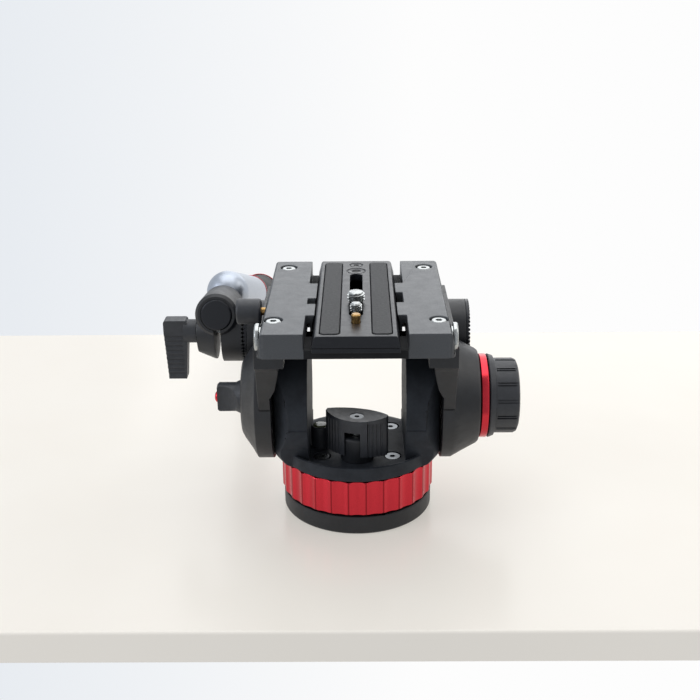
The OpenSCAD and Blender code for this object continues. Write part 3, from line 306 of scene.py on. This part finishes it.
def place_piece(mesh, name, material, body, node=None):
    """Make a finished mesh an object that rides on a body, and stands for a CAD node if one is named."""
    mesh.materials.clear()
    mesh.materials.append(material)
    piece = bpy.data.objects.new(name, mesh)
    bpy.context.scene.collection.objects.link(piece)
    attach(piece, body)
    if node:
        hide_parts(node)
    return piece


def finished(mesh, node, material=None):
    """Put a finished mesh in the place of a CAD node."""
    slot = SLOT_OF[node]
    return place_piece(mesh, node + "_finished", material or FINISH[slot], BODY_OF[node], node)


def work_object(mesh):
    """An object for modifiers to work on."""
    work = bpy.data.objects.new("work", mesh)
    bpy.context.scene.collection.objects.link(work)
    return work


def apply_modifiers(work):
    """Turn an object with live modifiers into a plain mesh and remove the object."""
    mesh = bpy.data.meshes.new_from_object(work.evaluated_get(bpy.context.evaluated_depsgraph_get()))
    bpy.data.objects.remove(work)
    return mesh


def pull_in(mesh, edges, reach_mm):
    """Put points that the rounding threw far from every CAD edge back onto the nearest edge."""
    for point in mesh.vertices:
        near, _, _, gap = edges.find_nearest(point.co)
        if gap > reach_mm * MM:
            point.co = near


def soften(mesh, radius_mm, segments, sharp_deg, crowded=False):
    """Round a mesh's edges by radius_mm, or less where a crowded mesh has no room, and smooth it."""
    mesh.shade_smooth()
    mesh.set_sharp_from_angle(angle=math.radians(sharp_deg + 6))
    work = work_object(mesh)
    bevel = work.modifiers.new("edges", "BEVEL")
    bevel.width = radius_mm * MM
    bevel.segments = segments
    bevel.limit_method = "ANGLE"
    bevel.angle_limit = math.radians(sharp_deg)
    bevel.use_clamp_overlap = crowded
    bevel.miter_outer = "MITER_ARC"
    # Each edge goes in as a triangle folded flat; true rounding stays within 1.6 radii of an edge
    folded = [(*edge.vertices, edge.vertices[0]) for edge in mesh.edges]
    edges = BVHTree.FromPolygons([v.co for v in mesh.vertices], folded)
    rounded = apply_modifiers(work)
    pull_in(rounded, edges, 1.6 * radius_mm)
    work = work_object(rounded)
    flat = work.modifiers.new("flat_faces", "WEIGHTED_NORMAL")
    flat.weight = 100
    return apply_modifiers(work)


def solid_copy(node):
    """A CAD node's mesh with its loose triangles joined and its flat faces made whole."""
    form = bmesh.new()
    form.from_mesh(NODES[node].data)
    bmesh.ops.remove_doubles(form, verts=form.verts, dist=0.002 * MM)
    bmesh.ops.dissolve_limit(form, angle_limit=math.radians(0.8), verts=form.verts, edges=form.edges)
    mesh = bpy.data.meshes.new(node + "_form")
    form.to_mesh(mesh)
    form.free()
    return mesh


def rounded_piece(node, radius_mm, sharp_deg=30, crowded=False):
    """A CAD node with the small edge radii of the real casting or moulding."""
    finished(soften(solid_copy(node), radius_mm, 2, sharp_deg, crowded), node, OWN_FINISH.get(node))


def smooth_piece(node):
    """A CAD node whose turned or pressed faces run smoothly into each other."""
    mesh = solid_copy(node)
    mesh.shade_smooth()
    mesh.set_sharp_from_angle(angle=math.radians(35))
    return finished(mesh, node, OWN_FINISH.get(node))


def squeezed_spring(node):
    """A coil spring in its CAD shape, smoothly shaded and given a mesh of its own."""
    spring = smooth_piece(node)
    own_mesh(spring)


def threaded_screw(node, radius_mm, pitch_mm, neck_mm):
    """A camera screw: the CAD screw up to its neck, and a real thread with a chamfered end above it."""
    around, rows, depth = 60, 14, 0.62 * pitch_mm
    end_chamfer, run_out = 1.1, 1.4
    form = bmesh.new()
    form.from_mesh(solid_copy(node))
    top = max(v.co.z for v in form.verts) / MM
    low = top - neck_mm
    bmesh.ops.bisect_plane(form, geom=form.verts[:] + form.edges[:] + form.faces[:],
                           plane_co=(0, 0, low * MM), plane_no=(0, 0, 1), clear_outer=True)
    box = [v.co / MM for v in form.verts]
    middle_x = (min(c.x for c in box) + max(c.x for c in box)) / 2
    middle_y = (min(c.y for c in box) + max(c.y for c in box)) / 2
    strips = []
    for row in range(-rows, round(neck_mm / pitch_mm * rows) + rows):
        # From 0 on the thread's flat crest to depth at its flat root
        flank = depth * min(1, max(0, 2.8 * abs(2 * (row / rows % 1) - 1) - 0.9))
        strip = []
        for step in range(around + 1):
            z = min(top, max(low, low + pitch_mm * (row / rows + step / around)))
            reach = min(radius_mm - flank, radius_mm - end_chamfer + (top - z),
                        radius_mm - depth + run_out * (z - low))
            angle = 2 * math.pi * step / around
            strip.append(form.verts.new(Vector((
                middle_x + reach * math.cos(angle), middle_y + reach * math.sin(angle), z)) * MM))
        strips.append(strip)
    for lower, upper in zip(strips, strips[1:]):
        for step in range(around):
            form.faces.new((lower[step], lower[step + 1], upper[step + 1], upper[step]))
    form.faces.new(strips[-1][:around])
    bmesh.ops.remove_doubles(form, verts=form.verts, dist=0.004 * MM)
    bmesh.ops.dissolve_degenerate(form, edges=form.edges, dist=0.004 * MM)
    mesh = bpy.data.meshes.new(node)
    form.to_mesh(mesh)
    form.free()
    mesh.shade_smooth()
    mesh.set_sharp_from_angle(angle=math.radians(35))
    finished(mesh, node)


def turned_piece(name, profile_mm, y_mm, material, node):
    """Spin a profile of radius and height about an upright axis, and let it ride with a node's body."""
    form = bmesh.new()
    rim = [form.verts.new(Vector((r, y_mm, z)) * MM) for r, z in profile_mm]
    edges = [form.edges.new(pair) for pair in zip(rim, rim[1:])]
    bmesh.ops.spin(form, geom=rim + edges, cent=(0, y_mm * MM, 0), axis=(0, 0, 1),
                   steps=48, angle=2 * math.pi)
    bmesh.ops.remove_doubles(form, verts=form.verts, dist=0.002 * MM)
    bmesh.ops.recalc_face_normals(form, faces=form.faces)
    mesh = bpy.data.meshes.new(name)
    form.to_mesh(mesh)
    form.free()
    mesh.shade_smooth()
    mesh.set_sharp_from_angle(angle=math.radians(30))
    place_piece(mesh, name, material, BODY_OF[node])


def plate_bush(y_mm, outer_mm, hole_mm):
    """A low turned bush in a recess of the plate's top, with a near-black disc low in its hole as painted
    shade for the hole's depth.
    """
    top = max(v.co.z for v in NODES["camera_plate"].data.vertices) / MM
    bush = [(outer_mm, top - 0.6), (outer_mm, top - 0.3), (outer_mm - 0.2, top - 0.15),
            (hole_mm + 0.3, top - 0.15), (hole_mm, top - 0.3), (hole_mm, top - 0.59)]
    # Painted shade: a near-black disc that stands for the dark depth of the hole
    shade_disc = [(0, top - 0.45), (hole_mm - 0.2, top - 0.45), (hole_mm - 0.05, top - 0.59)]
    turned_piece(f"plate_bush_{y_mm}", bush, y_mm, BLACK_ANODISED, "camera_plate")
    turned_piece(f"plate_shade_disc_{y_mm}", shade_disc, y_mm, BORE_SHADE, "camera_plate")


def inset_pads(node, gap_mm):
    """The rubber pads, drawn in by gap_mm so that a dark line runs round them in their recesses."""
    mesh = solid_copy(node)
    for side in (-1, 1):
        pad = [v for v in mesh.vertices if v.co.x * side > 0]
        for axis in (0, 1):
            low, high = min(v.co[axis] for v in pad), max(v.co[axis] for v in pad)
            middle, shrink = (low + high) / 2, 1 - 2 * gap_mm * MM / (high - low)
            for v in pad:
                v.co[axis] = middle + (v.co[axis] - middle) * shrink
    finished(soften(mesh, 0.35, 2, 30), node)


def ring_of_bars():
    """Geometry nodes: equal bars along X, set evenly round the X axis."""
    tree = bpy.data.node_groups.new("ring_of_bars", "GeometryNodeTree")
    sockets = {"Count": "Int", "Radius": "Float", "Bar": "Vector", "Middle": "Vector", "Finish": "Material"}
    for name, kind in sockets.items():
        tree.interface.new_socket(name, in_out="INPUT", socket_type="NodeSocket" + kind)
    tree.interface.new_socket("Geometry", in_out="OUTPUT", socket_type="NodeSocketGeometry")
    given = add(tree, "NodeGroupInput")
    circle = add(tree, "GeometryNodeMeshCircle", {
        "Vertices": given.outputs["Count"], "Radius": given.outputs["Radius"]})
    upright = add(tree, "GeometryNodeTransform", {
        "Geometry": circle.outputs["Mesh"], "Rotation": (0, math.pi / 2, 0)})
    bar = add(tree, "GeometryNodeMeshCube", {"Size": given.outputs["Bar"]})
    outward = add(tree, "FunctionNodeAlignRotationToVector", {
        "Vector": add(tree, "GeometryNodeInputPosition").outputs[0]}, axis="Z", pivot_axis="X")
    bars = add(tree, "GeometryNodeInstanceOnPoints", {
        "Points": upright.outputs["Geometry"], "Instance": bar.outputs["Mesh"],
        "Rotation": outward.outputs["Rotation"]})
    moved = add(tree, "GeometryNodeTransform", {
        "Geometry": bars.outputs["Instances"], "Translation": given.outputs["Middle"]})
    real = add(tree, "GeometryNodeRealizeInstances", {"Geometry": moved.outputs["Geometry"]})
    done = add(tree, "GeometryNodeSetMaterial", {
        "Geometry": real.outputs["Geometry"], "Material": given.outputs["Finish"]})
    add(tree, "NodeGroupOutput", {"Geometry": done.outputs["Geometry"]})
    return tree


def grown(tree, **values):
    """Evaluate a geometry node tree with its named inputs set, and keep the plain mesh."""
    work = work_object(bpy.data.meshes.new("work"))
    maker = work.modifiers.new("maker", "NODES")
    maker.node_group = tree
    for item in tree.interface.items_tree:
        if item.in_out == "INPUT":
            maker[item.identifier] = values[item.name]
    return apply_modifiers(work)


def knob_lines(node):
    """Thin raised lines in the grooves between the drag knob's pads."""
    box = [NODES[node].matrix_world @ Vector(corner) for corner in NODES[node].bound_box]
    end = max(c.x for c in box)
    axis_z = (max(c.z for c in box) + min(c.z for c in box)) / 2
    lines = grown(ring_of_bars(), Count=KNOB_GROOVES, Radius=KNOB_RADIUS_MM * MM - 0.5 * MM,
                  Bar=(11 * MM, 0.7 * MM, 0.9 * MM), Middle=(end - 7.4 * MM, 0, axis_z), Finish=NYLON)
    place_piece(soften(lines, 0.2, 2, 30), "drag_knob_lines", NYLON, BODY_OF[node])


# Finishes that differ from their slot's, and edge radii in millimetres
OWN_FINISH = {
    "yoke": YOKE, "bar_grip": GRIP, "screw_washer_14": NYLON, "screw_washer_38": NYLON,
    "pan_drag_ring": RED_RING, "floor_screws": DULL_STEEL, "pan_lock_screw": DULL_STEEL,
}

ROUNDED = {
    "base_plate": 0.8, "yoke": 0.5, "pan_lock_post": 0.4, "pan_lock_knob": 0.25,
    "level_body": 0.3, "tilt_housing_left": 0.4, "tilt_housing_right": 0.4, "tilt_red_band": 0.2,
    "tilt_lock_cap": 0.2, "deck": 0.5, "accessory_insert_left": 0.3,
    "accessory_insert_right": 0.3, "camera_plate": 0.4, "locating_pin": 0.25,
    "plate_lock_knob": 0.5, "plate_clamp_shoe": 0.3, "bar_spigot": 0.4,
    "grip_front_ring": 0.2, "grip_end_ring": 0.2,
}
for node, radius in ROUNDED.items():
    rounded_piece(node, radius)
rounded_piece("pan_drag_ring", 0.25, sharp_deg=14)
for node in ("bar_lever", "bar_clamp", "tilt_lock_lever", "tilt_drag_knob"):
    rounded_piece(node, 0.4, crowded=True)
for node in ("bar_tube", "bar_grip"):
    smooth_piece(node)
squeezed_spring("pin_spring")
threaded_screw("camera_screw_38", *THREAD_38_MM)
threaded_screw("camera_screw_14", *THREAD_14_MM)
inset_pads("plate_pads", 0.35)
for bush in PLATE_BUSHES_MM:
    plate_bush(*bush)
knob_lines("tilt_drag_knob")

for node, thing in NODES.items():
    thing.data.materials.clear()
    thing.data.materials.append(OWN_FINISH.get(node) or FINISH[SLOT_OF[node]])


# Floor, light and camera


def make_floor():
    """A pale table top with the photograph's front and rear edges."""
    corners = [(x, y, z) for z in (-TABLE_THICK, 0) for y in (TABLE_FRONT, TABLE_REAR)
               for x in (-TABLE_HALF, TABLE_HALF)]
    sides = [(0, 2, 3, 1), (4, 5, 7, 6), (0, 1, 5, 4), (2, 6, 7, 3), (0, 4, 6, 2), (1, 3, 7, 5)]
    mesh = bpy.data.meshes.new("table_top")
    mesh.from_pydata(corners, [], sides)
    floor = bpy.data.objects.new("table_top", soften(mesh, 1.5, 3, 30))
    bpy.context.scene.collection.objects.link(floor)
    floor.data.materials.append(table_lacquer())


def make_lamp(name, place, target, size, watts, colour):
    """A soft square lamp that looks at a point."""
    lamp = bpy.data.lights.new(name, "AREA")
    lamp.shape = "SQUARE"
    lamp.size = size
    lamp.energy = watts
    lamp.color = linear(colour)[:3]
    thing = bpy.data.objects.new(name, lamp)
    bpy.context.scene.collection.objects.link(thing)
    thing.location = place
    thing.rotation_mode = "QUATERNION"
    thing.rotation_quaternion = (Vector(target) - Vector(place)).to_track_quat("-Z", "Y")


def make_world():
    """Pale studio air: cooler at the left, seen and mirrored as it is, dimmer as light."""
    world = bpy.data.worlds.new("studio_air")
    bpy.context.scene.world = world
    world.use_nodes = True
    tree = world.node_tree
    tree.nodes.clear()
    rays = add(tree, "ShaderNodeLightPath")
    seen = add(tree, "ShaderNodeMath", {
        0: rays.outputs["Is Camera Ray"], 1: rays.outputs["Is Glossy Ray"]}, operation="MAXIMUM")
    shown = add(tree, "ShaderNodeMath", {
        0: seen.outputs[0], 1: rays.outputs["Is Transmission Ray"]}, operation="MAXIMUM")
    ahead = add(tree, "ShaderNodeSeparateXYZ", {
        "Vector": add(tree, "ShaderNodeTexCoord").outputs["Generated"]})
    across = add(tree, "ShaderNodeMapRange", {
        "Value": ahead.outputs["X"], "From Min": -0.3, "From Max": 0.05})
    # Two windows in the dim room behind the photograph's camera, mirrored in the metal and paint
    aside = add(tree, "ShaderNodeMath", {0: ahead.outputs["X"]}, operation="ABSOLUTE")
    opening = add(tree, "ShaderNodeMapRange", {
        "Value": aside.outputs[0], "From Min": 0.1, "From Max": 0.2})
    closing = add(tree, "ShaderNodeMapRange", {
        "Value": aside.outputs[0], "From Min": 0.5, "From Max": 0.65, "To Min": 1, "To Max": 0})
    window = add(tree, "ShaderNodeMath", {
        0: opening.outputs["Result"], 1: closing.outputs["Result"]}, operation="MULTIPLY")
    behind = add(tree, "ShaderNodeMapRange", {
        "Value": ahead.outputs["Y"], "From Min": -0.1, "From Max": -0.35, "To Min": 0, "To Max": 1})
    room = add(tree, "ShaderNodeMix", {"Factor": behind.outputs["Result"]}, data_type="RGBA")
    tree.links.new(tint(tree, across.outputs["Result"], "#e8ecf1", "#fdfdfd"), room.inputs[6])
    tree.links.new(tint(tree, window.outputs[0], "#94979c", "#ffffff"), room.inputs[7])
    air = add(tree, "ShaderNodeBackground", {"Color": room.outputs[2], "Strength": 1.0})
    light = add(tree, "ShaderNodeBackground", {"Color": linear("#f2f5fa"), "Strength": 0.4})
    mix = add(tree, "ShaderNodeMixShader", {
        0: shown.outputs[0], 1: light.outputs[0], 2: air.outputs[0]})
    add(tree, "ShaderNodeOutputWorld", {"Surface": mix.outputs[0]})


def make_camera():
    """The photograph's view, as fitted to the base, deck and knob outlines."""
    data = bpy.data.cameras.new("camera")
    data.sensor_width = SENSOR_MM
    data.lens = LENS_MM
    camera = bpy.data.objects.new("camera", data)
    bpy.context.scene.collection.objects.link(camera)
    pitch, yaw, roll = (math.radians(angle) for angle in CAMERA_PITCH_YAW_ROLL)
    ahead = Vector((math.sin(yaw) * math.cos(pitch), math.cos(yaw) * math.cos(pitch), -math.sin(pitch)))
    level = Vector((math.cos(yaw), -math.sin(yaw), 0))
    upright = level.cross(ahead)
    right = level * math.cos(roll) + upright * math.sin(roll)
    up = upright * math.cos(roll) - level * math.sin(roll)
    turn = Matrix((right, up, -ahead)).transposed()
    camera.matrix_world = Matrix.Translation(Vector(CAMERA_PLACE_MM) * MM) @ turn.to_4x4()
    bpy.context.scene.camera = camera


make_floor()
make_lamp("overhead", (-0.05, 0.3, 1.3), (0, 0.02, 0.08), 1.3, 8, "#ffffff")
make_lamp("window_behind", (0.2, 1.5, 0.8), (0, 0, 0.1), 1.4, 6, "#fbfdff")
make_lamp("window_left", (-1.3, -0.6, 0.8), (0, 0, 0.08), 0.8, 6, "#f2f6ff")
make_lamp("window_right", (1.4, 0.2, 0.9), (0, 0, 0.08), 1.0, 4, "#fffaf2")
make_world()
make_camera()
bpy.context.scene.view_settings.view_transform = "Standard"
